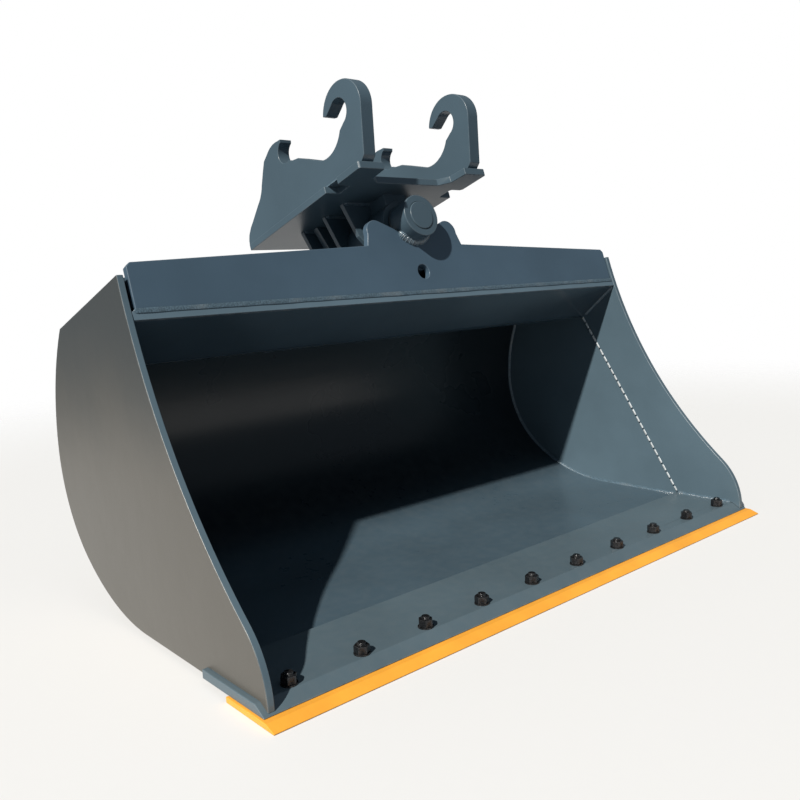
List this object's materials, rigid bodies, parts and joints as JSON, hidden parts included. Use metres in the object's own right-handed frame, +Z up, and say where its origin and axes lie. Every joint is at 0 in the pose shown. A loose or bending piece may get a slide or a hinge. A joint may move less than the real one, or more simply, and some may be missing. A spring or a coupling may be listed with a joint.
{
  "type": "tilting excavator bucket",
  "caption": "Wide ditch-cleaning bucket with a bolt-on cutting edge, a hydraulic side tilt and a two-plate hook-on headstock.",
  "frame": {"origin": "on the ground, on the underside of the cutting edge, under the middle of the lip's front edge", "axes": "+X along the cutting edge to the right seen from the front, +Y from the mouth to the back, +Z up"},
  "size_m": [1.81, 1.1014, 1.315],
  "materials": {
    "paint": "semi-gloss blue-grey paint",
    "edge_paint": "semi-gloss yellow-orange paint",
    "black_bolt": "black oxide",
    "bare_steel": "machined",
    "rod_chrome": "polished hard chrome",
    "bronze": "machined bearing bronze"
  },
  "bodies": {
    "bucket": {"floor_shell": "paint", "roof_plate": "paint", "side_plate_left": "paint", "side_plate_right": "paint", "side_cutter_left": "paint", "side_cutter_right": "paint", "lip_plate": "paint", "cutting_edge": "edge_paint", "edge_bolts": "black_bolt", "edge_washers": "black_bolt", "edge_nuts": "black_bolt", "skid_bars": "paint", "front_beam": "paint", "beam_flange": "paint", "beam_gussets": "paint", "torque_box_panel": "paint", "front_boss": "paint", "rear_ear": "paint", "rear_boss": "paint", "tilt_pin": "paint", "pin_cap": "paint", "pin_cap_bolts": "bare_steel", "cylinder_brackets": "paint", "cylinder_pins": "bare_steel", "cylinder_saddles": "paint", "barrel_left": "paint", "barrel_right": "paint", "gland_left": "black_bolt", "gland_right": "black_bolt", "front_thrust_ring": "bare_steel", "rear_thrust_ring": "bare_steel", "grease_nipples": "bare_steel"},
    "headstock": {"hook_plate_left": "paint", "hook_plate_right": "paint", "base_plate": "paint", "pivot_tube_front": "paint", "pivot_tube_rear": "paint", "tube_saddle": "paint", "front_bush": "bronze", "rear_bush": "bronze", "headstock_gussets": "paint", "crank_plates": "paint"},
    "ram": {"rod_left": "rod_chrome", "rod_right": "rod_chrome", "piston_left": "bare_steel", "piston_right": "bare_steel", "crosshead": "bare_steel", "crosshead_pin": "bare_steel"}
  },
  "joints": [
    {"name": "tilt", "type": "hinge", "parent": "bucket", "child": "headstock", "pos_m": [0, 0.54063, 0.94988], "axis": [0, 0.9511, -0.309], "range_deg": [-30, 30]},
    {"name": "ram_slide", "type": "slide", "parent": "bucket", "child": "ram", "axis": [1, 0, 0], "range_m": [-0.046, 0.046]}
  ],
  "couplings": [
    {"joint": "ram_slide", "follows": "tilt", "m_per_rad": -0.08532}
  ]
}
